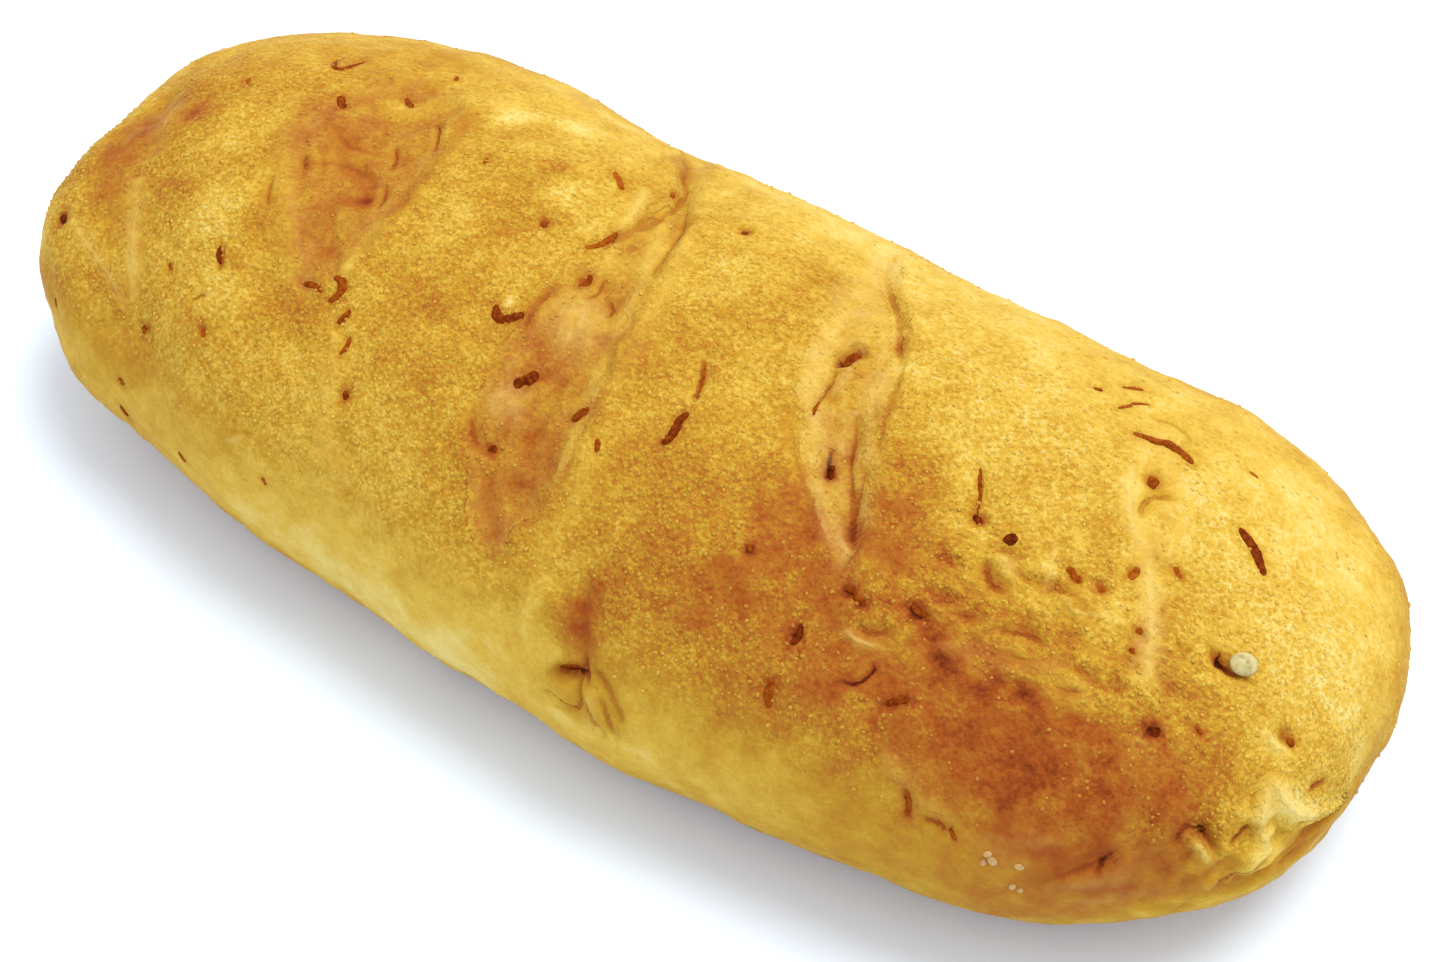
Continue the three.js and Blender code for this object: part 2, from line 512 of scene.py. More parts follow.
# Along, round, half length in mm, half height in degrees, and how much paler. Most are paler crust; those
# marked below also stand for painted sheen and highlight where the light falls.
PALE_AND_LIT_PATCHES = [
    (-15, -94, 52, 20, 0.5),
    (-90, -95, 40, 16, 0.2),
    (45, -94, 20, 12, 0.3),
    # Partly paler crust and partly painted highlight on the near end's fold.
    (136, -62, 6, 14, 1.0),
    (-77, 26, 6, 6, 0.55),
    (-100, -68, 30, 7, 0.12),
    (-35, -98, 48, 9, 0.35),
    (-40, 22, 9, 7, 0.3),
    (-24, 8, 5, 9, 0.18),
    (60, -8, 9, 8, 0.3),
    (100, -22, 9, 7, 0.3),
    # The next two are partly paler crust and partly painted sheen high on the back and on the near end.
    (30, 56, 110, 9, 0.15),
    (122, 30, 26, 46, 0.2),
    (-90, -34, 8, 12, 0.5),
    (-99, -4, 8, 14, 0.45),
    (-80, -52, 6, 5, 0.4),
    (-48, -10, 5, 13, 0.2),
    (5, 5, 5, 11, 0.2),
    (31, -47, 4, 10, 0.3),
    (36, -2, 3, 8, 0.2),
    (80, -14, 8, 7, 0.25),
    (106, -41, 8, 3, 0.3),
    (90, -46, 11, 2.5, 0.38),
    # The next two are painted sheen high on the back.
    (-56, 35, 5, 5, 0.5),
    (-46, 39, 5, 6, 0.6),
    # The next three are partly paler crust and partly painted sheen on the back top and the near end.
    (75, 32, 75, 36, 0.4),
    (-15, 50, 70, 20, 0.3),
    (132, -5, 10, 40, 0.3),
    (98, -51, 5, 3, 0.25),
    (80, -78, 6, 4, 0.3),
    # The next three lighten the edges of the near end as painted light.
    (133, -35, 6, 14, 0.25),
    (136, -84, 5, 12, 0.4),
    (118, 58, 22, 12, 0.2),
    (46, 25, 9, 7, 0.2),
    (68, -8, 6, 8, 0.2),
    (-137, 35, 6, 16, 0.4),
    (-130, 15, 6, 14, 0.25),
    (-133, -70, 7, 14, 0.3),
    (-72, 8, 7, 9, 0.2),
    (-52, -60, 9, 18, 0.15),
    (-56, -38, 6, 6, 0.2),
    (-14, -5, 5, 8, 0.2),
    (-33, 12, 5, 5, 0.2),
    (-2, 25, 5, 12, 0.2),
    (30, 5, 4, 8, 0.2),
    (8, -67, 7, 6, 0.15),
    (-100, 54, 45, 10, 0.12),
    (-66, 37, 12, 8, 0.2),
    (-26, 16, 16, 20, 0.1),
    (-52, -83, 22, 9, 0.12),
    (50, -84, 20, 8, 0.1),
]


def patch_weight(x, turn, half_length, half_turn):
    """1 in the middle of a ragged patch, falling to 0 past its edge."""
    sideways = (along + 2.5 * drift_along - x) / half_length
    upwards = (turned + 3.0 * drift_round - turn) / half_turn
    return np.exp(-np.hypot(sideways, upwards) ** 2.6)


for x, turn, half_length, half_turn, browner in BROWN_PATCHES:
    bake += browner * patch_weight(x, turn, half_length, half_turn)
for x, turn, half_length, half_turn, paler in PALE_AND_LIT_PATCHES:
    bake -= paler * patch_weight(x, turn, half_length, half_turn)

# The meal was dusted from above, so it is thin low on the front and down the back.
grain *= 0.22 + 0.78 * ramp(-86, -66, turned)
grain *= 1 - 0.55 * ramp(5, 60, turned)
bake += 0.15 * rough(16, 3, 9) + 0.12 * soft_lumps
bake += 0.3 * ramp(0.15, 0.6, bake) * rough(5, 3, 11)
# Nothing but its pits and creases, darkened below partly as painted shade, is darker than red-brown.
BROWN = 0.65
DARKEST = 1.03
over = np.maximum(bake - BROWN, 0) / (DARKEST - BROWN)
bake = np.minimum(bake, BROWN) + (DARKEST - BROWN) * np.tanh(over)
# Golden mottles are left in the brown, and its meal is burnt into the crust.
bake -= 0.32 * ramp(0.35, 0.8, bake) * ramp(0.05, 0.6, rough(7, 4, 12))
grain *= 1 - 0.6 * ramp(0.35, 0.85, bake)

# =================================================================================================
# Folds, tears and pits. Where the dough's skin was stretched, pinched or pricked it left thin lines
# and small holes, dark inside, and a few pale ridges and blisters. The dark insides are partly painted
# shade and the pale ridges partly painted highlight, and a few marks are painted glints and one is
# the kernel's painted shadow.
# =================================================================================================

# Waypoints as (along, round), width in mm, how far it stands proud (a fold is below), how much browner.
# The narrow ones are drawn as well. A ridge is made paler partly as painted highlight, and a fold
# browner partly as painted shade.
DRAWN_BELOW = 1.8
FOLDS = [
    # in and beside the second slash
    ([(-96, 16), (-93, 6), (-88, -6), (-82, -20), (-74, -32), (-67.6, -42)], 2.2, 0.3, -0.17),
    ([(-64.5, -8), (-61, -16), (-58.6, -24), (-58.4, -34)], 1.8, 0.3, -0.45),
    ([(-63, 30), (-60, 16), (-58.4, 4), (-58, -6), (-58.6, -15)], 2.2, -0.3, 0.55),
    ([(-68, 24), (-65, 19), (-62, 11)], 0.7, -0.7, 0.5),
    ([(-70, 10), (-68, 6), (-66, 0)], 0.8, -0.5, 0.4),
    ([(-64, -6), (-62.5, -10), (-62, -14)], 0.7, -0.6, 0.35),
    ([(-84, 8), (-77, 3), (-70, 5)], 1.4, -0.35, 0.15),
    ([(-82, -9), (-75, -4), (-68, -5)], 1.4, -0.35, 0.15),
    ([(-83, -6), (-81, -11)], 0.7, -0.5, 0.4),
    ([(-84.5, -18), (-83, -23), (-81, -27)], 1.0, -0.5, 0.35),
    # in and beside the third slash
    ([(-28, 56), (-24, 47), (-19, 38), (-17, 24), (-18.5, 14), (-19, 8)], 1.1, -1.0, 0.35),
    ([(-17.5, 36), (-13, 26), (-10.5, 18), (-9.5, 10), (-8, 2)], 0.9, -0.8, 0.3),
    ([(-15.5, -3), (-14.5, -8), (-15, -13)], 0.7, -0.6, 0.4),
    ([(-12, -9), (-10, -11), (-9.5, -14)], 0.7, -0.6, 0.35),
    ([(-20.5, -13), (-21.5, -20), (-20.5, -28)], 1.0, -0.5, 0.4),
    ([(-20.5, -47), (-18.5, -52), (-16, -55)], 1.0, -0.5, 0.22),
    ([(-24, 30), (-21, 20), (-20, 11)], 1.6, 0.5, -0.4),
    ([(-19, 32), (-13, 14), (-8, -4), (-4, -26), (-1.5, -40), (1, -53)], 1.8, 0.4, -0.5),
    ([(-10, 24), (-5, 6), (-1, -14), (1, -30)], 1.9, 0.3, -0.15),
    ([(4, -38), (6, -52), (6, -66), (6, -80)], 3.0, 0.5, -0.45),
    # in and beside the fourth slash
    ([(40, -7), (43, -14), (45, -20), (49, -28), (53, -38)], 0.8, -0.8, 0.35),
    ([(32.3, 13), (31.6, 9), (31.3, 4)], 1.6, -1.8, 1.2),
    ([(31.5, 3), (32.8, -2), (33.4, -12)], 0.6, -0.6, 0.35),
    ([(40.5, -18), (41.5, -22), (43, -25)], 0.8, -0.8, 0.8),
    ([(20, 47), (27, 36), (33, 27), (38, 17), (41, 11)], 1.4, -0.9, 0.5),
    ([(42, 9), (44, 2), (46, -6), (48, -14)], 0.7, -0.6, 0.3),
    ([(48, -20), (49.5, -25), (51, -31), (54, -38)], 0.9, -0.6, 0.3),
    ([(30, -15), (36, -24.5), (41, -31), (47, -37)], 0.9, -0.4, 0.08),
    # by the fifth slash
    ([(94.5, 21), (91.5, 18), (91, 13), (92, 9)], 1.2, -0.8, 0.45),
    ([(85, 20), (88, 12), (91.5, 4), (96.5, 1)], 1.3, 0.4, -0.35),
    ([(96.5, 0.5), (100, -8), (103.6, -17), (106.5, -26), (109, -35)], 1.4, 0.5, -0.4),
    ([(80, 41), (84, 43.5), (88, 42), (89, 39)], 1.1, -0.35, 0.3),
    # wrinkles before the near end
    ([(84, -14), (85.5, -20), (87, -27)], 0.7, 0.4, -0.3),
    ([(90, -26), (93, -28.5), (96, -26)], 0.8, 0.5, -0.35),
    ([(76, -27), (78, -31), (82, -32)], 1.5, -0.5, 0.6),
    ([(77, -24), (79, -25), (81, -28)], 1.6, 0.7, -0.35),
    ([(84, -40.3), (86, -39.8), (89, -38.5), (92.5, -39)], 1.2, -0.4, 0.45),
    ([(62, -52), (65, -52.5), (68, -50.5)], 1.2, -0.6, 0.35),
    ([(60, -54), (64, -54.7), (68, -54)], 0.8, 0.5, -0.5),
    ([(64, -63), (67, -62), (68.5, -59), (68, -57)], 0.7, -0.5, 0.45),
    ([(65, -5), (67.5, -10), (69, -16)], 0.6, -0.4, 0.3),
    ([(12, -15), (14, -20), (15, -25)], 0.7, -0.4, 0.4),
    ([(82, -76), (83, -79), (83.5, -81)], 1.0, -0.6, 0.7),
    ([(86, -80), (89, -79.5), (90.5, -81.5)], 1.0, -0.5, 0.45),
    ([(116.5, -77), (115.5, -81), (115, -85)], 1.0, -0.7, 0.4),
    ([(76, -71), (83.4, -75.6), (91, -78)], 1.9, 0.35, -0.25),
    ([(95, -80.5), (104.8, -83)], 1.9, 0.3, -0.1),
    ([(108, -86.5), (114, -87), (119, -84), (121, -76)], 2.0, 0.35, -0.15),
    ([(77, -48.5), (84, -46), (91, -46.5)], 1.9, 0.35, -0.15),
    ([(74, -41.5), (77, -41.2), (80, -39.5)], 0.6, -0.3, 0.14),
    ([(87, -44.4), (90, -44), (93, -42.5)], 0.6, -0.3, 0.14),
    ([(96, -46.5), (99, -46.3), (101, -45.3)], 0.6, -0.3, 0.2),
    ([(95, -33), (98, -35), (101, -35.3)], 0.6, -0.3, 0.14),
    ([(72, -33), (75, -35), (78, -35.3)], 0.6, -0.3, 0.14),
    ([(90, -43.5), (97, -44), (103, -46)], 1.8, 0.3, -0.15),
    # the tear low on the front, under the third slash
    ([(15, -66), (17, -73), (19.5, -79)], 1.9, -0.7, 0.35),
    ([(19, -78), (20.5, -80.5), (21.5, -83)], 1.0, -0.8, 0.4),
    ([(13.5, -84), (16.5, -82.5), (20, -81)], 1.5, -2.2, 0.7),
    ([(19, -83), (19.8, -87), (18.5, -90), (15, -90), (12.5, -89)], 1.1, -1.2, 0.4),
    ([(16, -86), (17, -88)], 1.8, 0.8, -0.2),
    ([(22, -79), (25.5, -82), (29, -87)], 1.5, -1.1, 0.3),
    ([(24, -84), (26, -88), (27, -92)], 1.3, -1.0, 0.35),
    ([(21, -86), (23, -90), (25, -94)], 1.2, -0.9, 0.35),
    ([(22, -84), (22.5, -88), (22, -92)], 1.4, 0.6, -0.1),
    # the far end
    ([(-124.5, 14), (-121, 3), (-117.5, -6), (-114, -14)], 1.8, 0.6, -0.2),
    ([(-113, 10), (-112.5, 0), (-112.5, -8)], 2.2, -0.3, 0.3),
    ([(-113.5, -36), (-109, -45), (-104.5, -55), (-99, -66)], 1.3, 0.5, -0.2),
    ([(-121, 8), (-127, -4), (-129, -18)], 6.0, -1.2, 0.1),
    ([(-126, -58), (-119, -60), (-111, -63), (-105, -66), (-100, -70)], 0.9, 0.5, -0.35),
    ([(-106, -50), (-103, -56), (-100, -62)], 1.3, 0.3, -0.3),
    ([(-84, -42), (-83, -45), (-82.5, -48)], 0.6, -0.4, 0.5),
    ([(-84.5, -57), (-83.5, -55), (-82, -54)], 0.6, -0.4, 0.5),
    ([(-67, -79), (-64, -77), (-62, -75)], 0.7, 0.3, -0.2),
    ([(-53, -48), (-49, -56), (-46.5, -66), (-47, -78)], 2.0, 0.35, -0.15),
    ([(-42, -66), (-40, -74), (-40, -84)], 2.0, 0.3, -0.1),
    # folds round the near end
    ([(126.8, -69.5), (128.5, -73), (130, -77.5)], 1.2, -1.5, 0.4),
    ([(126.3, -72.5), (127.8, -76), (129.3, -80)], 1.0, 1.0, -0.7),
    ([(133.3, -68), (132.6, -71), (131.4, -75.5)], 0.9, -0.9, 0.6),
    ([(125.5, -68), (124.3, -71), (124.5, -75)], 1.4, -0.9, 0.45),
    ([(132.5, -48), (134.3, -53), (136.5, -60), (138.6, -68)], 1.3, 1.1, -0.6),
    ([(132.6, -50), (133.2, -60), (134.5, -70), (136, -80)], 1.2, 0.6, -0.45),
    ([(131.4, -53), (131.8, -58), (132.3, -63)], 1.1, -0.6, 0.25),
    ([(135, -63), (136, -69), (137, -76)], 1.2, -0.8, 0.3),
    ([(138.5, -38), (138, -44), (137.6, -51)], 1.1, -0.8, 0.7),
    ([(134, -92), (136, -88), (137.5, -84)], 1.2, 0.7, -0.3),
    ([(131, -93), (134, -89), (136, -84)], 1.0, -0.6, 0.4),
    ([(112, -93), (117, -93), (124, -91), (129, -90)], 1.9, 0.5, -0.15),
    ([(108, -87), (111, -85), (114, -82), (116, -80)], 1.3, -0.6, 0.14),
    ([(108, -89), (112, -87), (116, -84)], 1.9, 0.4, -0.2),
    ([(98, -79), (103, -78), (108, -77)], 1.9, 0.3, -0.12),
    # A dark crescent beside the kernel: its painted shadow.
    ([(115, -16.2), (116.8, -17.8), (119.3, -18.4), (122, -16.6)], 1.4, -1.0, 0.9),
    # A pale ridge below a pit: a painted glint.
    ([(127.8, -31), (130, -33.6), (132.8, -33)], 1.3, 0.8, -0.6),
]

# The crust crumpled low round the near end, in small folds that run round it. Their raised folds are
# painted paler as highlight and their hollows darker as shade.
CRUMPLE_HEIGHT = 1.8
crumpled = ramp(110, 128, along) * ramp(56, 70, -turned) * (1 - ramp(100, 112, -turned))
crumples = streaks(crumpled, along / 3.2, turned / 11, 3.7, 3)
lift += CRUMPLE_HEIGHT * crumples * crumpled
bake -= 0.7 * crumples * crumpled

# The skin wrinkled between the fifth slash and the browned patch in front of it, in sharp ridges that
# run along the loaf, their tops painted pale as highlight and the hollows between them browner as
# shade.
RIDGE_HEIGHT = 1.6
wrinkled = ramp(58, 74, along) * (1 - ramp(112, 126, along))
wrinkled *= ramp(12, 24, -turned) * (1 - ramp(48, 60, -turned))
ridges = 0.3 - np.abs(streaks(wrinkled, along / 9, turned / 7, 9.1, 4))
ridges *= wrinkled > NOT_THERE
lift += RIDGE_HEIGHT * ridges * wrinkled
bake -= ridges * wrinkled

# Along, round, radius in mm, how far it stands proud (a pit is below), how much browner. A pit is
# browned partly as painted shade in it.
SPOTS = [
    # The pit beside the kernel, browned as its painted shadow.
    (116.6, -16.8, 1.7, -1.2, 1.0),
    (-65.5, -12.5, 2.2, -0.4, 0.8),
    (-126.5, -61.5, 1.7, -1.0, 1.5),
    (-32, 2, 1.1, -0.6, 1.0),
    (-18, -7, 1.2, -0.6, 0.9),
    (-1, 28, 1.1, -0.6, 1.1),
    (-45, -58, 0.9, -0.5, 0.8),
    (-94, -53, 0.8, -0.4, 0.5),
    (-79, -61, 0.9, -0.4, 0.6),
    (-94, -70, 0.9, -0.4, 0.6),
    (-62, -75, 0.9, -0.4, 0.6),
    (-98, -87, 1.1, -0.4, 0.5),
    (-14, -54, 1.0, -0.5, 0.8),
    (43, -25, 1.3, -0.8, 1.1),
    (35.5, -6, 1.2, -0.2, 0.5),
    (89.4, 22, 1.9, -0.6, 1.0),
    (97, -8.5, 1.0, -0.9, 1.2),
    (70.5, -18, 1.1, -0.6, 1.2),
    (90, -20, 1.3, -0.5, 0.9),
    (94.5, -18.5, 1.6, -0.5, 0.7),
    (103.5, -23.5, 1.2, -0.4, 0.7),
    (104.5, -30, 0.8, -0.4, 0.8),
    (103.5, -1, 1.2, -0.3, 0.5),
    (114.3, -47, 1.5, -1.2, 1.0),
    (120, -42, 1.0, -0.6, 0.6),
    (58, -47, 1.3, -0.9, 0.7),
    (61, -48, 1.0, -0.7, 0.8),
    (53.5, -59, 1.1, -0.5, 0.9),
    (70, -44.5, 1.0, -0.3, 0.3),
    (39, -48, 0.9, -0.4, 0.8),
    (131.7, -28, 1.8, -1.4, 0.9),
    # The next two are painted glints.
    (113.3, -51, 1.0, 0.4, -0.9),
    (-26, -23.3, 1.2, 0.4, -1.2),
    (-16, -44, 3.2, 0.9, -0.2),
    (-14, -16, 4.0, 0.9, -0.02),
    (-12.5, -22, 4.0, 0.9, -0.02),
    (92, -26, 3.2, 0.5, 0.1),
]


def on_skin(x, turn):
    """The place on the loaf's skin at a distance along it and an angle round it, in mm."""
    angle = math.radians(turn)
    heart = Vector((x * MM, 0, HEART_HEIGHT * MM))
    hit = skin.ray_cast(heart, Vector((0, math.sin(angle), math.cos(angle))))[0]
    return np.array(hit) / MM


def smooth_path(ways, steps):
    """Rows along a smooth curve that passes through the given rows."""
    ways = np.array(ways, dtype=float)
    held = np.vstack([2 * ways[0] - ways[1], ways, 2 * ways[-1] - ways[-2]])
    place = np.linspace(0, len(ways) - 1, steps)
    first = np.minimum(place.astype(int), len(ways) - 2)
    share = (place - first)[:, None]
    a, b, c, d = (held[first + k] for k in range(4))
    bend = (2 * a - 5 * b + 4 * c - d) * share**2 + (3 * b - a - 3 * c + d) * share**3
    return 0.5 * (2 * b + (c - a) * share + bend)


ROUTE_STEPS = 24


def near_path(ways, reach):
    """The crust's points near a path on it: which, how far off, how far along, and on which side."""
    route = smooth_path(ways, ROUTE_STEPS * (len(ways) - 1))
    route = np.array([on_skin(x, turn) for x, turn in route])
    in_box = np.all((points > route.min(0) - reach) & (points < route.max(0) + reach), axis=1)
    which = np.flatnonzero(in_box)
    arms = points[which, None, :] - route[None, :, :]
    gaps = np.linalg.norm(arms, axis=2)
    nearest = gaps.argmin(axis=1)
    heading = np.gradient(route, axis=0)[nearest]
    arm = arms[np.arange(len(which)), nearest]
    side = np.sign(np.sum(np.cross(heading, normals[which]) * arm, axis=1))
    return which, gaps.min(axis=1), nearest / (len(route) - 1), side


# The browner or paler a fold is, the stronger it is drawn, and it fades out at both ends. Its skin is
# pale on a ridge and not in a crease, partly as painted highlight and shade, and a wide one stretched
# it less.
FAINTEST_LINE = 0.08
LINE_PER_BROWN = 1.1
RIDGE_SPREAD = 0.75
CREASE_SPREAD = 0.5
FOLD_BAKE_LIGHT_AND_SHADE = 0.6
RIDGE_PALLOR_AND_HIGHLIGHT = 0.35
CREASE_PALLOR_AND_SHADE = -0.4
STRETCHED_WIDTH = 1.4
NARROW_MEAL_LOST = 0.7
WIDE_MEAL_LOST = 0.4
for ways, width, proud, browner in FOLDS:
    which, off, share, side = near_path(ways, 4 * width + 2)
    strongest = min(1.0, FAINTEST_LINE + LINE_PER_BROWN * abs(browner))
    strength = strongest * np.minimum(1, 5 * share * (1 - share))
    kind, spread, skin_pallor_and_light = "crease", CREASE_SPREAD, CREASE_PALLOR_AND_SHADE
    if proud > 0:
        kind, spread, skin_pallor_and_light = "ridge", RIDGE_SPREAD, RIDGE_PALLOR_AND_HIGHLIGHT
    meal_lost = WIDE_MEAL_LOST
    if width < DRAWN_BELOW:
        draw_line(kind, which, side * off, spread * width, strength)
        meal_lost = NARROW_MEAL_LOST
    thinning = np.minimum(1, 0.35 + 4 * share * (1 - share))
    off = off * (1 + 0.3 * drift_round[which]) / thinning
    lift[which] += proud * bell(off, width)
    # Ridges are painted paler and folds browner, partly as painted highlight and shade.
    bake[which] += FOLD_BAKE_LIGHT_AND_SHADE * browner * bell(off, width * 0.9)
    pallor[which] += skin_pallor_and_light * min(1, STRETCHED_WIDTH / width) ** 3 * bell(off, width)
    grain[which] *= 1 - meal_lost * bell(off, width * 1.5)

# A pit and a blister lose their meal, and a pale blister is stretched skin. The two glints get the
# blister's pale skin as painted highlight, and a pit loses pale skin as painted shade in it.
BLISTER_AND_GLINT_PALLOR = 0.6
PIT_SHADE_PALLOR = -0.5
SPOT_MEAL_LOST = 0.6
for x, turn, radius, proud, browner in SPOTS:
    off = np.linalg.norm(points - on_skin(x, turn), axis=1) * (1 + 0.25 * drift_along)
    near = bell(off, radius)
    lift += proud * near
    bake += browner * near**1.5
    pallor += (BLISTER_AND_GLINT_PALLOR if browner < 0 else PIT_SHADE_PALLOR) * near
    grain *= 1 - SPOT_MEAL_LOST * near

# Shreds of carrot lie in the crust. Each has its waypoints, its width in mm and how dark it baked, from
# 0 orange to 1 nearly black. The crust is browner and a little sunk round them.
SHREDS = [
    ([(81, 31), (84, 34), (88, 35), (92.5, 34)], 2.0, 0.55),
    ([(106, 26.5), (110, 25), (114, 21)], 2.2, 0.75),
    ([(78, 46), (76.5, 43), (76, 40), (75.5, 36)], 1.1, 0.5),
    ([(72, 46), (73.5, 48), (75, 49)], 1.3, 0.5),
    ([(69, 39), (70.5, 40)], 1.3, 0.6),
    ([(100, 45), (102, 45.5)], 0.9, 0.3),
    ([(-98, 37), (-96.5, 33), (-94.5, 33), (-93, 39)], 1.3, 0.6),
    ([(-88.5, 20.5), (-87, 18.5), (-86, 17)], 1.9, 0.65),
    ([(-78.5, 31.5), (-77, 29.5), (-75.5, 28)], 1.5, 0.6),
    ([(-109, 19), (-108, 16)], 1.1, 0.4),
    ([(-75.5, 45), (-74.5, 43)], 1.0, 0.5),
    ([(-85, -42), (-84.3, -44), (-83, -46)], 1.2, 0.75),
    ([(-65.5, -41), (-63, -40.3), (-60.5, -40.5)], 1.3, 0.6),
    ([(-60, -36), (-58, -36.3), (-57, -39), (-58.3, -42)], 1.8, 0.55),
    ([(-53, -41.5), (-53.3, -43.5), (-54, -45.5)], 1.7, 0.6),
    ([(-50, -47), (-49.7, -49), (-50, -51)], 1.2, 0.55),
    ([(-45.5, -57), (-44.7, -58.7)], 1.4, 0.7),
    ([(-94.5, -52.5), (-93.5, -54)], 1.0, 0.5),
    ([(-79.5, -60.5), (-78.5, -62)], 1.0, 0.5),
    ([(-95.5, -70.5), (-94.5, -72)], 1.5, 0.55),
    ([(-127.3, -60.5), (-126.3, -62.5)], 2.4, 0.8),
    ([(-98.5, -86.5), (-97.3, -88)], 1.4, 0.5),
    ([(-99, -96), (-97, -98)], 1.8, 0.6),
    ([(-81, -93.5), (-79, -95)], 1.4, 0.4),
    ([(-120.5, -82), (-119.5, -84)], 1.2, 0.6),
    ([(-57.5, -82.5), (-56.5, -84)], 1.1, 0.4),
    ([(-31, 29.3), (-29, 28), (-27, 26)], 1.6, 0.4),
    ([(-20, 10.5), (-20, 7.5), (-20.5, 4), (-22, 1)], 1.4, 0.5),
    ([(-32, 3), (-31.3, 1)], 1.8, 0.65),
    ([(-18, -4.5), (-17.7, -7), (-18.2, -9.5)], 1.5, 0.6),
    ([(-28, -25), (-26.5, -27.5), (-24.3, -27), (-22.3, -24)], 2.0, 0.75),
    ([(-14, -35), (-15, -37.5), (-16.3, -40)], 2.3, 0.75),
    ([(-1, -37), (-2, -39), (-3.3, -41)], 2.2, 0.6),
    ([(4, -42), (4.7, -43), (5.3, -44.5)], 1.1, 0.5),
    ([(-14.5, -53.5), (-13.3, -54.5)], 1.5, 0.7),
    ([(-20, 34.7), (-19.5, 33)], 1.0, 0.5),
    ([(-1.5, 28.5), (-0.7, 26.7)], 1.5, 0.75),
    ([(-51, 13.5), (-50.5, 11.5)], 0.9, 0.5),
    ([(15.7, -28), (15.2, -30.5), (15.6, -34), (15, -37)], 1.9, 0.75),
    ([(12.5, -15), (14, -19), (15.3, -24)], 0.8, 0.5),
    ([(32.5, 12.5), (31.7, 9.5), (32, 6.5)], 2.8, 0.6),
    ([(33, -8), (33.5, -11), (34, -13)], 0.9, 0.5),
    ([(42.3, -22.5), (42.8, -24.5), (43.7, -26)], 1.7, 0.75),
    ([(38.3, -47.5), (39.3, -48.5)], 1.2, 0.6),
    ([(65, -5), (66.5, -9), (68, -12), (69.5, -17)], 0.9, 0.6),
    ([(69, -17.7), (71, -18.7)], 1.7, 0.8),
    ([(76, -18.3), (78, -19.7)], 2.6, 0.85),
    ([(88, -18), (89.5, -19.3), (91.3, -20)], 1.7, 0.5),
    ([(94, -18), (95, -19)], 1.8, 0.4),
    ([(103, -23), (104, -24)], 1.4, 0.4),
    ([(104, -29.5), (105, -30.5)], 1.1, 0.6),
    ([(97, -6), (97.3, -8.5), (97, -11)], 1.7, 0.4),
    ([(102, 0.5), (104, -1.5)], 1.1, 0.4),
    ([(89.3, 24), (89.3, 22), (89.7, 20.3)], 2.6, 0.6),
    ([(119.5, -41.5), (120.5, -42.5)], 1.1, 0.6),
    ([(113.7, -46), (114.7, -48)], 2.2, 0.9),
    ([(57, -46.5), (59.5, -47.3), (62, -48.3)], 1.6, 0.65),
    ([(69, -44), (70.5, -44.8), (72.3, -44.3)], 1.2, 0.6),
    ([(53, -57), (53.7, -59), (53.3, -61)], 1.6, 0.75),
    ([(53, -67.5), (53.3, -70), (54.3, -72.5)], 1.9, 0.55),
    ([(73, -63.3), (74.5, -62), (76.3, -61)], 1.6, 0.7),
    ([(82, -76), (83, -78.5), (83.3, -81)], 1.6, 0.45),
    ([(91, -80), (92.5, -82)], 1.1, 0.5),
    ([(14, -84), (16.5, -82.3), (19.5, -81)], 1.5, 0.6),
    ([(131, -28), (132.7, -29.5)], 1.4, 0.6),
]

BED_DEPTH = 0.25
BED_BAKE = 0.35
for ways, width, dark in SHREDS:
    which, off = near_path(ways, 2 * width + 2)[:2]
    bed = bell(off, 0.9 * width)
    lift[which] -= BED_DEPTH * bed
    bake[which] += BED_BAKE * bed

# The crust keeps its flat base and stays on the tray, the tray browned it, and no meal sticks under it.
MOST_PALLOR = 0.75
up = points[:, 2]
grain *= ramp(1, 8, up)
finished = points + normals * (lift * ramp(0.5, 6, up))[:, None]
finished[:, 2] = np.maximum(finished[:, 2], 0)
base_bake = 0.55 + 0.25 * broad_lumps + 0.2 * soft_lumps
bake += (base_bake - bake) * (1 - ramp(0.2, 3.5, up))
set_points(crust.data, finished)


def add_values(mesh, values):
    """Gives each point of a mesh named values, of one number or three."""
    for name, numbers in values.items():
        numbers = np.array(numbers, dtype=float)
        kind, field = ("FLOAT", "value") if numbers.ndim == 1 else ("FLOAT_VECTOR", "vector")
        mesh.attributes.new(name, kind, "POINT").data.foreach_set(field, numbers.ravel())


add_values(crust.data, {"bake": bake, "grain": grain, "pallor": np.clip(pallor, 0, MOST_PALLOR)})
for kind, (gaps, strengths) in lines.items():
    gaps = np.clip(gaps, -FAR_GAP, FAR_GAP)
    add_values(crust.data, {kind + "_gap": gaps, kind + "_strength": strengths})
crust.data.shade_smooth()


def linear(hex_colour):
    """An sRGB hex colour as a linear one with full alpha."""
    parts = [int(hex_colour[i : i + 2], 16) / 255 for i in (1, 3, 5)]
    return [p / 12.92 if p <= 0.04045 else ((p + 0.055) / 1.055) ** 2.4 for p in parts] + [1.0]


def new_material(name):
    """An emptied material, its tree, and the tree's surface shader linked to its output."""
    material = bpy.data.materials.get(name) or bpy.data.materials.new(name)
    material.use_nodes = True
    tree = material.node_tree
    tree.nodes.clear()
    shader = add_node(tree, "ShaderNodeBsdfPrincipled", {"Specular IOR Level": 0.3})
    add_node(tree, "ShaderNodeOutputMaterial", {"Surface": shader.outputs[0]})
    return material, tree, shader


def set_ramp(node, stops):
    elements = node.color_ramp.elements
    while len(elements) < len(stops):
        elements.new(0.5)
    for stop, (position, colour) in zip(elements, stops):
        stop.position = position
        stop.color = linear(colour)


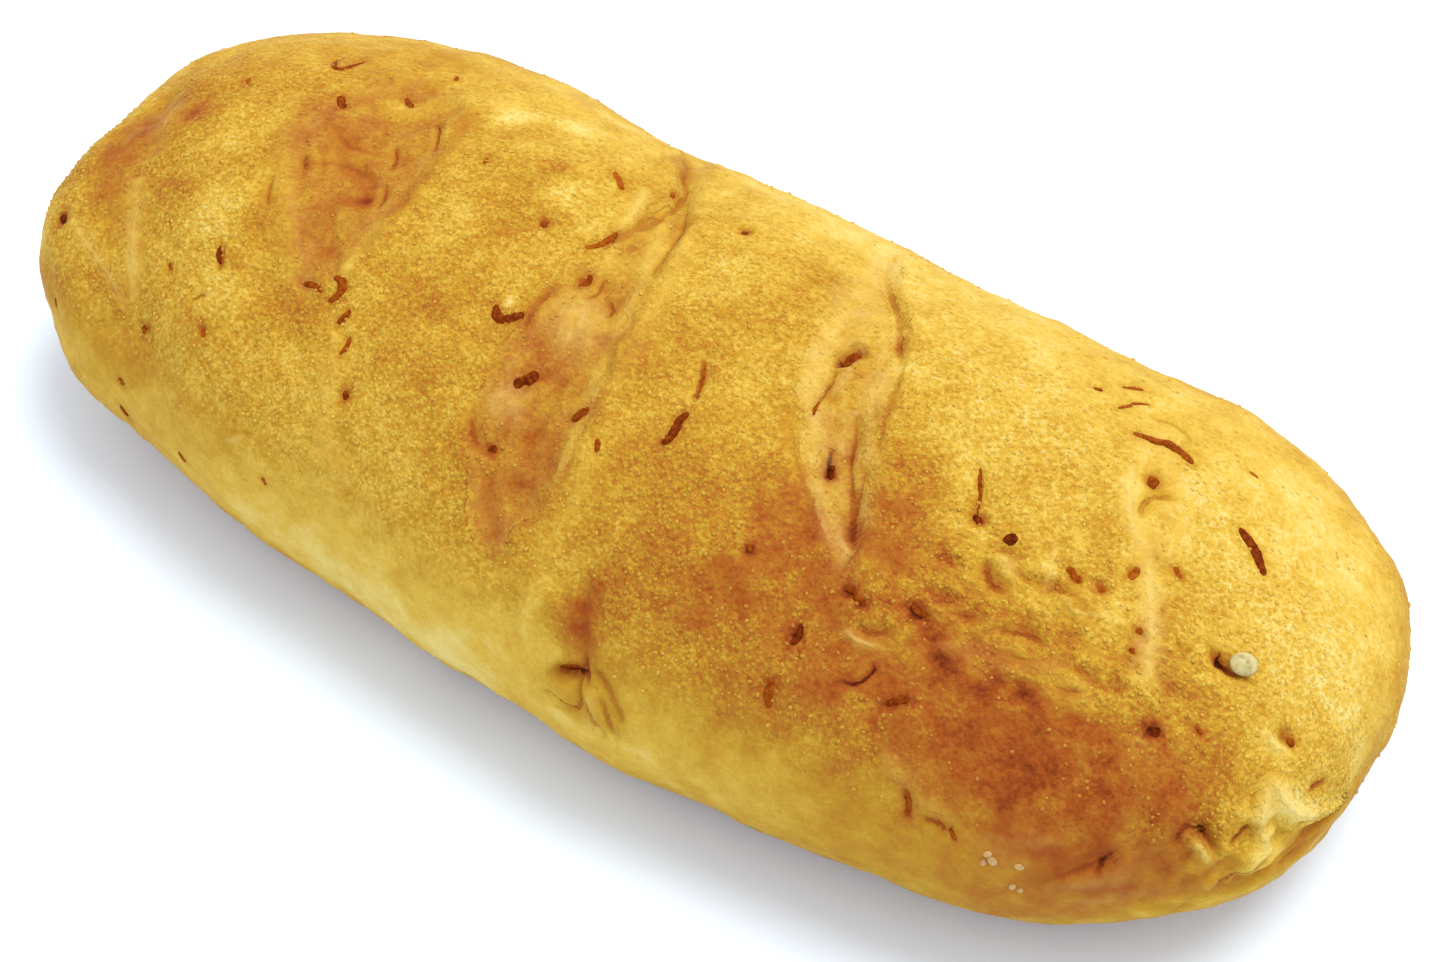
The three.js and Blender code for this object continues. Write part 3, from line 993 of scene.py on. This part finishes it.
# Baked crust: starch and sugar browned in the oven, dry and nearly matt. Grains of meal about 0.8 mm
# wide catch the light on the mealy parts, and stretched skin is smoother and a little glossier. Flour
# is finer than that in the real crust, so its grains are drawn a little coarser.
GRAIN_MM = 0.9
MEAL_MM = 0.8
CREASE_MM = 2.5
MOTTLE_MM = 6
GRAIN_SWING = 0.21
MOTTLE_SWING = 0.2
# The meal swings the colour between darker and paler grains; the paler ones stand partly for painted glints.
MEAL_DARK = 0.22
MEAL_LIGHT_AND_GLINT = -0.32
# How dark the drawn creases are painted, partly as shade in them, and how much of the pale ridge colour the
# drawn ridges get, partly as painted highlight.
CREASE_PAINTED_SHADE = 0.85
RIDGE_HIGHLIGHT_SHARE = 0.4
PALE_SKIN = "#C9A55C"
# The drawn ridges' colour: partly paler skin, partly painted highlight.
PALE_RIDGE_HIGHLIGHT = "#E0C270"
CRUST_COLOURS = [
    (0.0, "#D8C272"),
    (0.2, "#CBA741"),
    (0.4, "#B48828"),
    (0.56, "#A66D23"),
    (0.76, "#944A1A"),
    (0.9, "#702E12"),
    (1.0, "#3E1607"),
]
# The bake that the first and the last of those colours stand for
COLOURS_FROM = -1.0
COLOURS_TO = 1.5
material, tree, shader = new_material(crust_material.name)
shader.inputs["Specular IOR Level"].default_value = 0.03
place = add_node(tree, "ShaderNodeTexCoord").outputs["Object"]
baked = add_node(tree, "ShaderNodeAttribute", attribute_name="bake").outputs["Fac"]
mealy = add_node(tree, "ShaderNodeAttribute", attribute_name="grain").outputs["Fac"]
stretched = add_node(tree, "ShaderNodeAttribute", attribute_name="pallor").outputs["Fac"]

noises = {}
for name, size, detail, roughness, distortion in [
    ("grains", GRAIN_MM, 2.0, 0.6, 0.0),
    ("mottle", MOTTLE_MM, 4.0, 0.6, 0.0),
    ("creases", CREASE_MM, 3.0, 0.65, 1.2),
]:
    inputs = {"Vector": place, "Scale": 1 / (size * MM), "Detail": detail, "Roughness": roughness}
    made = add_node(tree, "ShaderNodeTexNoise", {**inputs, "Distortion": distortion})
    noises[name] = made.outputs["Fac"]
meal = add_node(tree, "ShaderNodeTexVoronoi", {"Vector": place, "Scale": 1 / (MEAL_MM * MM)})
lucky = add_node(tree, "ShaderNodeSeparateColor", {"Color": meal.outputs["Color"]}).outputs["Red"]

# How brown: the bake, with grains and meal that swing it on the mealy parts, and mottles all over.
# The meal's paler grains stand partly for painted glints.
grain_span = {"Value": noises["grains"], 1: 0.35, 2: 0.65, 3: GRAIN_SWING, 4: -GRAIN_SWING}
grain_swing = add_node(tree, "ShaderNodeMapRange", grain_span)
meal_swing = add_node(tree, "ShaderNodeMapRange", {"Value": lucky, 3: MEAL_DARK, 4: MEAL_LIGHT_AND_GLINT})
swing_inputs = {0: grain_swing.outputs[0], 1: meal_swing.outputs[0]}
both_swings = add_node(tree, "ShaderNodeMath", swing_inputs, operation="ADD")
mottle_span = {"Value": noises["mottle"], 1: 0.3, 2: 0.7, 3: -MOTTLE_SWING, 4: MOTTLE_SWING}
mottle_swing = add_node(tree, "ShaderNodeMapRange", mottle_span)
varied_inputs = {0: both_swings.outputs[0], 1: mealy, 2: mottle_swing.outputs[0]}
varied = add_node(tree, "ShaderNodeMath", varied_inputs, operation="MULTIPLY_ADD")
total = add_node(tree, "ShaderNodeMath", {0: varied.outputs[0], 1: baked}, operation="ADD")

# The thin lines, with edges that the grains make ragged.
jitter = add_node(tree, "ShaderNodeMapRange", {"Value": noises["grains"], 1: 0.3, 2: 0.7, 3: -0.5, 4: 0.5})
drawn = {}
for kind in lines:
    gap = add_node(tree, "ShaderNodeAttribute", attribute_name=kind + "_gap").outputs["Fac"]
    strong = add_node(tree, "ShaderNodeAttribute", attribute_name=kind + "_strength").outputs["Fac"]
    moved = add_node(tree, "ShaderNodeMath", {0: gap, 1: jitter.outputs[0]}, operation="ADD")
    away_from = add_node(tree, "ShaderNodeMath", {0: moved.outputs[0]}, operation="ABSOLUTE")
    span = {"Value": away_from.outputs[0], 1: 0.2, 2: 1.2, 3: 1.0, 4: 0.0}
    line = add_node(tree, "ShaderNodeMapRange", span, interpolation_type="SMOOTHSTEP")
    share = add_node(tree, "ShaderNodeMath", {0: line.outputs[0], 1: strong}, operation="MULTIPLY")
    drawn[kind] = share.outputs[0]

# Drawn creases darken the colour, partly as painted shade.
creased_inputs = {0: drawn["crease"], 1: CREASE_PAINTED_SHADE, 2: total.outputs[0]}
creased = add_node(tree, "ShaderNodeMath", creased_inputs, operation="MULTIPLY_ADD")
level = add_node(tree, "ShaderNodeMapRange", {"Value": creased.outputs[0], 1: COLOURS_FROM, 2: COLOURS_TO})
colours = add_node(tree, "ShaderNodeValToRGB", {"Fac": level.outputs[0]})
set_ramp(colours, CRUST_COLOURS)
crease_span = {"Value": noises["creases"], 1: 0.35, 2: 0.65, 3: 0.2, 4: 1.0}
crease_swing = add_node(tree, "ShaderNodeMapRange", crease_span)
skin_inputs = {0: crease_swing.outputs[0], 1: stretched}
skin_share = add_node(tree, "ShaderNodeMath", skin_inputs, operation="MULTIPLY")
skin_inputs = {0: skin_share.outputs[0], 6: colours.outputs["Color"], 7: linear(PALE_SKIN)}
skin_mix = add_node(tree, "ShaderNodeMix", skin_inputs, data_type="RGBA")
# Drawn ridges mix in the pale ridge colour, partly as painted highlight.
ridge_share = add_node(tree, "ShaderNodeMath", {0: drawn["ridge"], 1: RIDGE_HIGHLIGHT_SHARE}, operation="MULTIPLY")
ridge_inputs = {0: ridge_share.outputs[0], 6: skin_mix.outputs[2], 7: linear(PALE_RIDGE_HIGHLIGHT)}
ridge_mix = add_node(tree, "ShaderNodeMix", ridge_inputs, data_type="RGBA")
tree.links.new(ridge_mix.outputs[2], shader.inputs["Base Color"])
gloss = add_node(tree, "ShaderNodeMapRange", {"Value": mealy, 3: 0.52, 4: 0.65})
tree.links.new(gloss.outputs[0], shader.inputs["Roughness"])

# The bump: wrinkled skin, then grains of meal on it, then the thin lines.
mound = add_node(tree, "ShaderNodeMath", {0: 1.0, 1: meal.outputs["Distance"]}, operation="SUBTRACT")
heaped_inputs = {0: mound.outputs[0], 1: lucky, 2: noises["grains"]}
heaped = add_node(tree, "ShaderNodeMath", heaped_inputs, operation="MULTIPLY_ADD")
meal_height = add_node(tree, "ShaderNodeMath", {0: heaped.outputs[0], 1: mealy}, operation="MULTIPLY")
line_height = add_node(tree, "ShaderNodeMath", {0: drawn["ridge"], 1: drawn["crease"]}, operation="SUBTRACT")
below = {}
for height, strength, distance in [
    (noises["creases"], 0.5, 0.8 * MM),
    (meal_height.outputs[0], 0.9, 0.5 * MM),
    (line_height.outputs[0], 0.8, 0.5 * MM),
]:
    inputs = {"Strength": strength, "Distance": distance, "Height": height, **below}
    bump = add_node(tree, "ShaderNodeBump", inputs)
    below = {"Normal": bump.outputs[0]}
tree.links.new(bump.outputs[0], shader.inputs["Normal"])

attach(crust, "root")
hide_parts("loaf")

# =================================================================================================
# The carrot shreds. Grated carrot was kneaded into the dough, and where a shred came to the surface it
# dried and baked dark red-brown, half sunk in the crust.
# =================================================================================================

SHRED_FLATNESS = 0.5
SHRED_SIDES = 10
SHRED_SINK = 0.06
SHRED_STEPS = 8
STREAK_MM = 0.8
TOAST_SWING = 0.2
SHRED_COLOURS = [(0.0, "#BA6A18"), (0.45, "#8E460B"), (0.75, "#6C2805"), (1.0, "#421403")]


def shred_tree():
    """Sweeps a flattened round profile along each line, lying on the crust."""
    sockets = {"Geometry": "Geometry", "Flatness": "Float", "Sides": "Int", "Finish": "Material"}
    tree, given = new_tree("swept shreds", sockets)
    paths = add_node(tree, "GeometryNodeMeshToCurve", {"Mesh": given.outputs["Geometry"]})
    own_outward = {"Name": "outward"}
    outward = add_node(tree, "GeometryNodeInputNamedAttribute", own_outward, data_type="FLOAT_VECTOR")
    girth = add_node(tree, "GeometryNodeInputNamedAttribute", {"Name": "girth"}, data_type="FLOAT")
    facing_inputs = {"Curve": paths.outputs[0], "Normal": outward.outputs[0]}
    facing_out = add_node(tree, "GeometryNodeSetCurveNormal", facing_inputs, mode="FREE")
    circle_inputs = {"Resolution": given.outputs["Sides"], "Radius": 0.5}
    circle = add_node(tree, "GeometryNodeCurvePrimitiveCircle", circle_inputs)
    flat = add_node(tree, "ShaderNodeCombineXYZ", {"X": given.outputs["Flatness"], "Y": 1.0, "Z": 1.0})
    profile_inputs = {"Geometry": circle.outputs[0], "Scale": flat.outputs[0]}
    profile = add_node(tree, "GeometryNodeTransform", profile_inputs)
    swept_inputs = {"Curve": facing_out.outputs[0], "Profile Curve": profile.outputs[0], "Fill Caps": True}
    swept = add_node(tree, "GeometryNodeCurveToMesh", {**swept_inputs, "Scale": girth.outputs[0]})
    return end_tree(tree, swept.outputs[0], given.outputs["Finish"])


crust_tree = BVHTree.FromObject(crust, bpy.context.evaluated_depsgraph_get())


def on_crust(x, turn):
    """The place on the finished crust and its outward direction, in metres."""
    angle = math.radians(turn)
    heart = Vector((x * MM, 0, HEART_HEIGHT * MM))
    return crust_tree.ray_cast(heart, Vector((0, math.sin(angle), math.cos(angle))))[:2]


line_points = []
line_edges = []
line_values = {"outward": [], "girth": [], "toast": []}
for ways, width, dark in SHREDS:
    steps = SHRED_STEPS * (len(ways) - 1) + 1
    first = len(line_points)
    for step, (x, turn) in enumerate(smooth_path(ways, steps)):
        share = step / (steps - 1)
        ragged = 1 + 0.25 * noise.noise(Vector((x, turn, width)) * 0.9)
        girth = width * ragged * (0.3 + 0.7 * (4 * share * (1 - share)) ** 0.4) * MM
        spot, outward = on_crust(x, turn)
        line_points.append(spot - outward * SHRED_SINK * girth)
        line_values["outward"].append(tuple(outward))
        line_values["girth"].append(girth)
        line_values["toast"].append(dark)
        if step:
            line_edges.append((first + step - 1, first + step))

line_mesh = bpy.data.meshes.new("shred_lines")
line_mesh.from_pydata(line_points, line_edges, [])
add_values(line_mesh, line_values)

# Carrot dried and roasted in the oven: finely wrinkled and dull, orange where it is least baked.
material, tree, shader = new_material("roasted carrot")
place = add_node(tree, "ShaderNodeTexCoord").outputs["Object"]
toast = add_node(tree, "ShaderNodeAttribute", attribute_name="toast").outputs["Fac"]
streak_inputs = {"Vector": place, "Scale": 1 / (STREAK_MM * MM), "Detail": 2.0, "Roughness": 0.6}
streak = add_node(tree, "ShaderNodeTexNoise", streak_inputs).outputs["Fac"]
span = {"Value": streak, 1: 0.3, 2: 0.7, 3: -TOAST_SWING, 4: TOAST_SWING}
swing = add_node(tree, "ShaderNodeMapRange", span)
total = add_node(tree, "ShaderNodeMath", {0: swing.outputs[0], 1: toast}, operation="ADD")
colours = add_node(tree, "ShaderNodeValToRGB", {"Fac": total.outputs[0]})
set_ramp(colours, SHRED_COLOURS)
tree.links.new(colours.outputs["Color"], shader.inputs["Base Color"])
shader.inputs["Roughness"].default_value = 0.55
shader.inputs["Specular IOR Level"].default_value = 0.02
bump = add_node(tree, "ShaderNodeBump", {"Strength": 0.35, "Distance": 0.2 * MM, "Height": streak})
tree.links.new(bump.outputs[0], shader.inputs["Normal"])

shred_lines = add_object("shred_lines", line_mesh)
shred_inputs = {"Flatness": SHRED_FLATNESS, "Sides": SHRED_SIDES, "Finish": material}
shreds = run_tree(shred_tree(), "shreds", shred_lines, shred_inputs)
shreds.data.shade_smooth()
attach(shreds, "root")

# =================================================================================================
# The seeds. A few whole kernels stuck to the dough before it was baked: one pale sunflower kernel
# near the right end, and some small glassy grains low on the front.
# =================================================================================================

# Along, round, length, width and thickness in mm, the way it points in degrees from along the loaf
# towards the back, and how pale it is.
KERNELS = [
    (120.1, -13.4, 5.2, 4.2, 2.6, 35, 1.0),
    (98.4, -82.2, 1.6, 1.2, 1.0, 30, 0.3),
    (99.4, -83.4, 1.9, 1.5, 1.1, -40, 0.35),
    (98.0, -84.4, 1.4, 1.1, 0.9, 80, 0.2),
    (103.6, -83.8, 1.8, 1.3, 1.0, -20, 0.35),
    (103.0, -89.6, 1.6, 1.2, 1.0, 60, 0.4),
    (104.2, -90.4, 1.2, 1.0, 0.9, 10, 0.2),
]
KERNEL_COLOURS = [(0.0, "#8A6E34"), (0.45, "#A89A60"), (1.0, "#BCB07C")]
GLASSY = "#B4814A"
KERNEL_RISE = 0.05
CLOUD_MM = 2.5


def kernel_tree():
    """Sets a squashed ball at each point, turned and scaled by the point's own values."""
    tree, given = new_tree("set kernels", {"Geometry": "Geometry", "Finish": "Material"})
    ball = add_node(tree, "GeometryNodeMeshIcoSphere", {"Radius": 0.5, "Subdivisions": 4})
    smooth = add_node(tree, "GeometryNodeSetShadeSmooth", {"Geometry": ball.outputs["Mesh"]})
    inputs = {"Points": given.outputs["Geometry"], "Instance": smooth.outputs[0]}
    for socket, name in {"Rotation": "facing", "Scale": "size"}.items():
        own = add_node(tree, "GeometryNodeInputNamedAttribute", {"Name": name}, data_type="FLOAT_VECTOR")
        inputs[socket] = own.outputs[0]
    placed = add_node(tree, "GeometryNodeInstanceOnPoints", inputs)
    return end_tree(tree, placed.outputs[0], given.outputs["Finish"])


seats = []
seat_values = {"facing": [], "size": [], "pale": []}
for x, turn, length, width, thickness, heading, pale in KERNELS:
    spot, outward = on_crust(x, turn)
    x_axis = (Vector((1, 0, 0)) - outward * outward.x).normalized()
    angle = math.radians(heading)
    pointing = x_axis * math.cos(angle) + outward.cross(x_axis) * math.sin(angle)
    matrix = Matrix((pointing, outward.cross(pointing), outward)).transposed()
    seats.append(spot + outward * KERNEL_RISE * thickness * MM)
    seat_values["facing"].append(tuple(matrix.to_euler()))
    seat_values["size"].append((length * MM, width * MM, thickness * MM))
    seat_values["pale"].append(pale)

seat_mesh = bpy.data.meshes.new("kernel_seats")
seat_mesh.from_pydata(seats, [], [])
add_values(seat_mesh, seat_values)

# Baked seed: a smooth dry skin, off-white and grey-brown in clouds where it scorched.
material, tree, shader = new_material("baked seed kernel")
place = add_node(tree, "ShaderNodeTexCoord").outputs["Object"]
cloud_inputs = {"Vector": place, "Scale": 1 / (CLOUD_MM * MM), "Detail": 3.0, "Roughness": 0.6}
cloud = add_node(tree, "ShaderNodeTexNoise", cloud_inputs).outputs["Fac"]
spread = add_node(tree, "ShaderNodeMapRange", {"Value": cloud, 1: 0.35, 2: 0.55, 3: 0.2, 4: 1.0})
colours = add_node(tree, "ShaderNodeValToRGB", {"Fac": spread.outputs[0]})
set_ramp(colours, KERNEL_COLOURS)
paleness = add_node(tree, "ShaderNodeAttribute", attribute_name="pale").outputs["Fac"]
pale_inputs = {0: paleness, 6: linear(GLASSY), 7: colours.outputs["Color"]}
pale_mix = add_node(tree, "ShaderNodeMix", pale_inputs, data_type="RGBA")
tree.links.new(pale_mix.outputs[2], shader.inputs["Base Color"])
shader.inputs["Roughness"].default_value = 0.35
bump = add_node(tree, "ShaderNodeBump", {"Strength": 0.4, "Distance": 0.3 * MM, "Height": cloud})
tree.links.new(bump.outputs[0], shader.inputs["Normal"])

seeds = run_tree(kernel_tree(), "seeds", add_object("kernel_seats", seat_mesh), {"Finish": material})
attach(seeds, "root")

# =================================================================================================
# The meal. Semolina and coarse flour were dusted on the dough, and baked onto it as hard grains. The
# real grains are finer and closer than these.
# =================================================================================================

MEAL_INPUTS = {
    "Spacing": 1.0 * MM,
    "Grains per square metre": 380000.0,
    "Smallest grain": 0.45 * MM,
    "Largest grain": 0.95 * MM,
    "Seed": 7,
}
MEAL_SHAPE = (1.2, 0.9, 0.7)
MEAL_KIND_MM = 1.5
MEAL_COLOURS = [(0.0, "#D8C47C"), (0.25, "#CCA944"), (0.42, "#B6882B"), (0.6, "#AA6C28"), (1.0, "#6A3414")]


def meal_tree():
    """Scatters small squashed grains over the mealy parts of the crust."""
    kinds = {name: "Int" if name == "Seed" else "Float" for name in MEAL_INPUTS}
    tree, given = new_tree("scattered meal", {"Geometry": "Geometry", **kinds, "Finish": "Material"})
    mealy = add_node(tree, "GeometryNodeInputNamedAttribute", {"Name": "grain"}, data_type="FLOAT")
    likely = add_node(tree, "ShaderNodeMapRange", {"Value": mealy.outputs[0], 1: 0.35, 2: 1.0})
    inputs = {
        "Mesh": given.outputs["Geometry"],
        "Distance Min": given.outputs["Spacing"],
        "Density Max": given.outputs["Grains per square metre"],
        "Density Factor": likely.outputs[0],
        "Seed": given.outputs["Seed"],
    }
    dusted = add_node(tree, "GeometryNodeDistributePointsOnFaces", inputs, distribute_method="POISSON")
    ball = add_node(tree, "GeometryNodeMeshIcoSphere", {"Radius": 0.5, "Subdivisions": 1})
    smooth = add_node(tree, "GeometryNodeSetShadeSmooth", {"Geometry": ball.outputs["Mesh"]})
    size_inputs = {2: given.outputs["Smallest grain"], 3: given.outputs["Largest grain"], "Seed": 1}
    size = add_node(tree, "FunctionNodeRandomValue", size_inputs, data_type="FLOAT")
    shape_inputs = {0: MEAL_SHAPE, "Scale": size.outputs[1]}
    squashed = add_node(tree, "ShaderNodeVectorMath", shape_inputs, operation="SCALE")
    spin = add_node(tree, "FunctionNodeRandomValue", {2: 0.0, 3: math.tau, "Seed": 2}, data_type="FLOAT")
    spin_vector = add_node(tree, "ShaderNodeCombineXYZ", {"Z": spin.outputs[1]})
    inputs = {"Rotation": dusted.outputs["Rotation"], "Rotate By": spin_vector.outputs[0]}
    spun = add_node(tree, "FunctionNodeRotateRotation", inputs, rotation_space="LOCAL")
    inputs = {"Points": dusted.outputs["Points"], "Instance": smooth.outputs[0]}
    inputs.update({"Rotation": spun.outputs[0], "Scale": squashed.outputs[0]})
    placed = add_node(tree, "GeometryNodeInstanceOnPoints", inputs)
    return end_tree(tree, placed.outputs[0], given.outputs["Finish"])


# Toasted semolina: hard dry grains, each from pale yellow to amber, a little glassy. The crust that a
# grain lies on also browns it.
material, tree, shader = new_material("toasted semolina")
place = add_node(tree, "ShaderNodeTexCoord").outputs["Object"]
kinds = add_node(tree, "ShaderNodeTexVoronoi", {"Vector": place, "Scale": 1 / (MEAL_KIND_MM * MM)})
kind = add_node(tree, "ShaderNodeSeparateColor", {"Color": kinds.outputs["Color"]}).outputs["Red"]
kind_swing = add_node(tree, "ShaderNodeMapRange", {"Value": kind, 3: 0.16, 4: -0.28})
baked = add_node(tree, "ShaderNodeAttribute", attribute_name="bake").outputs["Fac"]
total_inputs = {0: baked, 1: 0.6, 2: kind_swing.outputs[0]}
total = add_node(tree, "ShaderNodeMath", total_inputs, operation="MULTIPLY_ADD")
level = add_node(tree, "ShaderNodeMapRange", {"Value": total.outputs[0], 1: COLOURS_FROM, 2: COLOURS_TO})
colours = add_node(tree, "ShaderNodeValToRGB", {"Fac": level.outputs[0]})
set_ramp(colours, MEAL_COLOURS)
tree.links.new(colours.outputs["Color"], shader.inputs["Base Color"])
shader.inputs["Roughness"].default_value = 0.5
shader.inputs["Specular IOR Level"].default_value = 0.12

meal_source = add_object("meal_source", crust.data.copy())
meal = run_tree(meal_tree(), "meal", meal_source, {**MEAL_INPUTS, "Finish": material})
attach(meal, "root")

# =================================================================================================
# The studio: a plain pale floor that the loaf stands on, a broad light from above and a little
# behind, and an even white room.
# =================================================================================================

FLOOR_HALF = 3.0
FLOOR_GAP = 0.2 * MM
floor_mesh = bpy.data.meshes.new("floor")
corners = [(FLOOR_HALF * x, FLOOR_HALF * y, 0) for x, y in ((-1, -1), (1, -1), (1, 1), (-1, 1))]
floor_mesh.from_pydata(corners, [], [(0, 1, 2, 3)])
floor = add_object("floor", floor_mesh)
floor.location.z = -FLOOR_GAP
# Matt white acrylic, lit a little from below, which keeps the shadow soft and even in colour.
material, tree, shader = new_material("matt white acrylic")
shader.inputs["Base Color"].default_value = linear("#E6F2FC")
shader.inputs["Emission Color"].default_value = linear("#B4BBFF")
shader.inputs["Emission Strength"].default_value = 0.105
shader.inputs["Roughness"].default_value = 0.9
floor.data.materials.append(material)

world = bpy.data.worlds.new("white room")
world.use_nodes = True
world.node_tree.nodes["Background"].inputs["Color"].default_value = linear("#FFFFFF")
world.node_tree.nodes["Background"].inputs["Strength"].default_value = 1.0
bpy.context.scene.world = world

LIGHT_FROM = Vector((0.22, 0.36, 1.17))
lamp = bpy.data.lights.new("soft_key", "SUN")
lamp.energy = 2.35
lamp.angle = math.radians(42)
key_light = add_object("soft_key", lamp)
key_light.rotation_euler = (-LIGHT_FROM).to_track_quat("-Z", "Y").to_euler()

# The camera looks down on the loaf from in front of its right end.
CAMERA_AZIMUTH = math.radians(34.4)
CAMERA_ELEVATION = math.radians(47)
CAMERA_DISTANCE = 789.4 * MM
AIM = Vector((9.2, -1.8, 30)) * MM
camera = bpy.data.cameras.new("camera")
camera.lens = 106.8
camera.sensor_width = 36
camera_object = add_object("camera", camera)
away = Vector((
    math.sin(CAMERA_AZIMUTH) * math.cos(CAMERA_ELEVATION),
    -math.cos(CAMERA_AZIMUTH) * math.cos(CAMERA_ELEVATION),
    math.sin(CAMERA_ELEVATION),
))
camera_object.location = AIM + away * CAMERA_DISTANCE
camera_object.rotation_euler = (-away).to_track_quat("-Z", "Y").to_euler()
bpy.context.scene.camera = camera_object
bpy.context.scene.view_settings.view_transform = "Standard"
